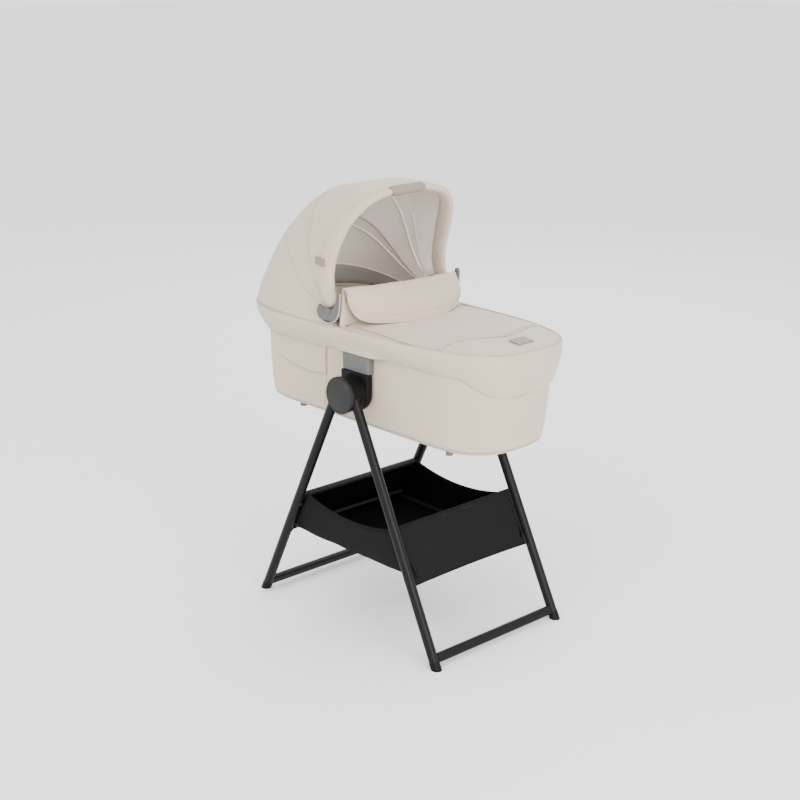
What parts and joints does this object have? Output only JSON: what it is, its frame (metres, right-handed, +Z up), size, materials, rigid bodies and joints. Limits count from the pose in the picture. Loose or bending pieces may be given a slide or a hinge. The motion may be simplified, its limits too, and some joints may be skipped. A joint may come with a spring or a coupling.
{
  "type": "bassinet on stand",
  "caption": "Carrycot with a folding canopy and wind flap, lifted onto a folding A-frame stand with a cloth storage basket.",
  "frame": {"origin": "on the floor, midway between the four feet and under the middle of the carrycot", "axes": "+Z up, +X towards the foot end, +Y to the sleeper's left"},
  "size_m": [0.901, 0.469, 1.1235],
  "materials": {
    "stand_tube": "satin charcoal powder coat",
    "stand_plastic": "fine matte black",
    "hub_plastic": "satin charcoal",
    "basket_cloth": "woven charcoal cloth",
    "basket_lining": "woven black cloth",
    "steel": "bright zinc",
    "oyster_cloth": "fine oyster melange weave",
    "lining_cloth": "soft pale jersey",
    "mesh_cloth": "dark grey vent mesh",
    "grey_plastic": "fine matte mid grey",
    "tan_leather": "soft grained leatherette"
  },
  "bodies": {
    "front_frame": {"front_leg_right": "stand_tube", "front_leg_left": "stand_tube", "front_floor_bar": "stand_tube", "front_foot_caps": "stand_plastic", "hub_inner_right": "stand_plastic", "hub_inner_left": "stand_plastic", "hub_pin_right": "steel", "hub_pin_left": "steel", "adaptor_right": "stand_plastic", "adaptor_left": "stand_plastic", "basket_front_panel": "basket_cloth", "basket_front_rods": "steel", "basket_front_screws": "steel", "basket_body": "basket_lining"},
    "rear_frame": {"rear_leg_right": "stand_tube", "rear_leg_left": "stand_tube", "rear_floor_bar": "stand_tube", "rear_foot_caps": "stand_plastic", "hub_outer_right": "hub_plastic", "hub_outer_left": "hub_plastic", "hub_cover_right": "hub_plastic", "hub_cover_left": "hub_plastic", "basket_rear_panel": "basket_lining", "basket_rear_rods": "basket_cloth", "basket_rear_screws": "steel"},
    "carrycot": {"cot_shell": "oyster_cloth", "lining": "lining_cloth", "mattress": "lining_cloth", "base_tray": "oyster_cloth", "cot_feet": "grey_plastic", "rim_frame": "grey_plastic", "skirt": "oyster_cloth", "apron": "oyster_cloth", "label_patch": "tan_leather", "zip_chain": "oyster_cloth", "zip_sliders": "steel", "receiver_right": "grey_plastic", "receiver_left": "grey_plastic", "pivot_housing_right": "grey_plastic", "pivot_housing_left": "grey_plastic", "pivot_pin_right": "steel", "pivot_pin_left": "steel", "flap_base": "oyster_cloth", "canopy_rear_panel": "oyster_cloth"},
    "rear_bow": {"rear_bow": "steel", "canopy_middle_panel": "oyster_cloth"},
    "mid_bow": {"mid_bow": "steel", "canopy_front_panel": "oyster_cloth"},
    "handle": {"handle_tube": "steel", "handle_sleeve": "oyster_cloth", "handle_grip": "tan_leather", "handle_studs": "steel", "pull_tabs": "tan_leather"},
    "wind_flap": {"wind_flap": "oyster_cloth"},
    "button_right": {"pivot_button_right": "grey_plastic"},
    "button_left": {"pivot_button_left": "grey_plastic"}
  },
  "joints": [
    {"name": "stand_fold", "type": "hinge", "parent": "front_frame", "child": "rear_frame", "pos_m": [0, 0, 0.625], "axis": [0, 1, 0], "range_deg": [-46, 0], "deforming": ["basket_body"]},
    {"name": "carrycot_lift", "type": "slide", "parent": "front_frame", "child": "carrycot", "axis": [0, 0, 1], "range_m": [0, 0.16]},
    {"name": "canopy_fold", "type": "hinge", "parent": "carrycot", "child": "rear_bow", "pos_m": [-0.068, 0, 0.822], "axis": [0, 1, 0], "range_deg": [-20, 0], "deforming": ["canopy_rear_panel"]},
    {"name": "canopy_mid_fold", "type": "hinge", "parent": "rear_bow", "child": "mid_bow", "pos_m": [-0.068, 0, 0.822], "axis": [0, 1, 0], "range_deg": [-20, 0], "deforming": ["canopy_middle_panel"]},
    {"name": "handle_fold", "type": "hinge", "parent": "mid_bow", "child": "handle", "pos_m": [-0.068, 0, 0.822], "axis": [0, 1, 0], "range_deg": [-20, 0], "deforming": ["canopy_front_panel"]},
    {"name": "wind_flap_fold", "type": "hinge", "parent": "carrycot", "child": "wind_flap", "pos_m": [-0.005, 0, 0.872], "axis": [0, 1, 0], "range_deg": [-130, 0], "deforming": ["wind_flap"]},
    {"name": "button_right_press", "type": "slide", "parent": "carrycot", "child": "button_right", "axis": [0, 1, 0], "range_m": [0, 0.003], "stiffness_N_per_m": 400, "springref_m": -0.002},
    {"name": "button_left_press", "type": "slide", "parent": "carrycot", "child": "button_left", "axis": [0, -1, 0], "range_m": [0, 0.003], "stiffness_N_per_m": 400, "springref_m": -0.002}
  ],
  "couplings": [
    {"joint": "canopy_mid_fold", "follows": "canopy_fold", "ratio": 1},
    {"joint": "handle_fold", "follows": "canopy_fold", "ratio": 1}
  ]
}
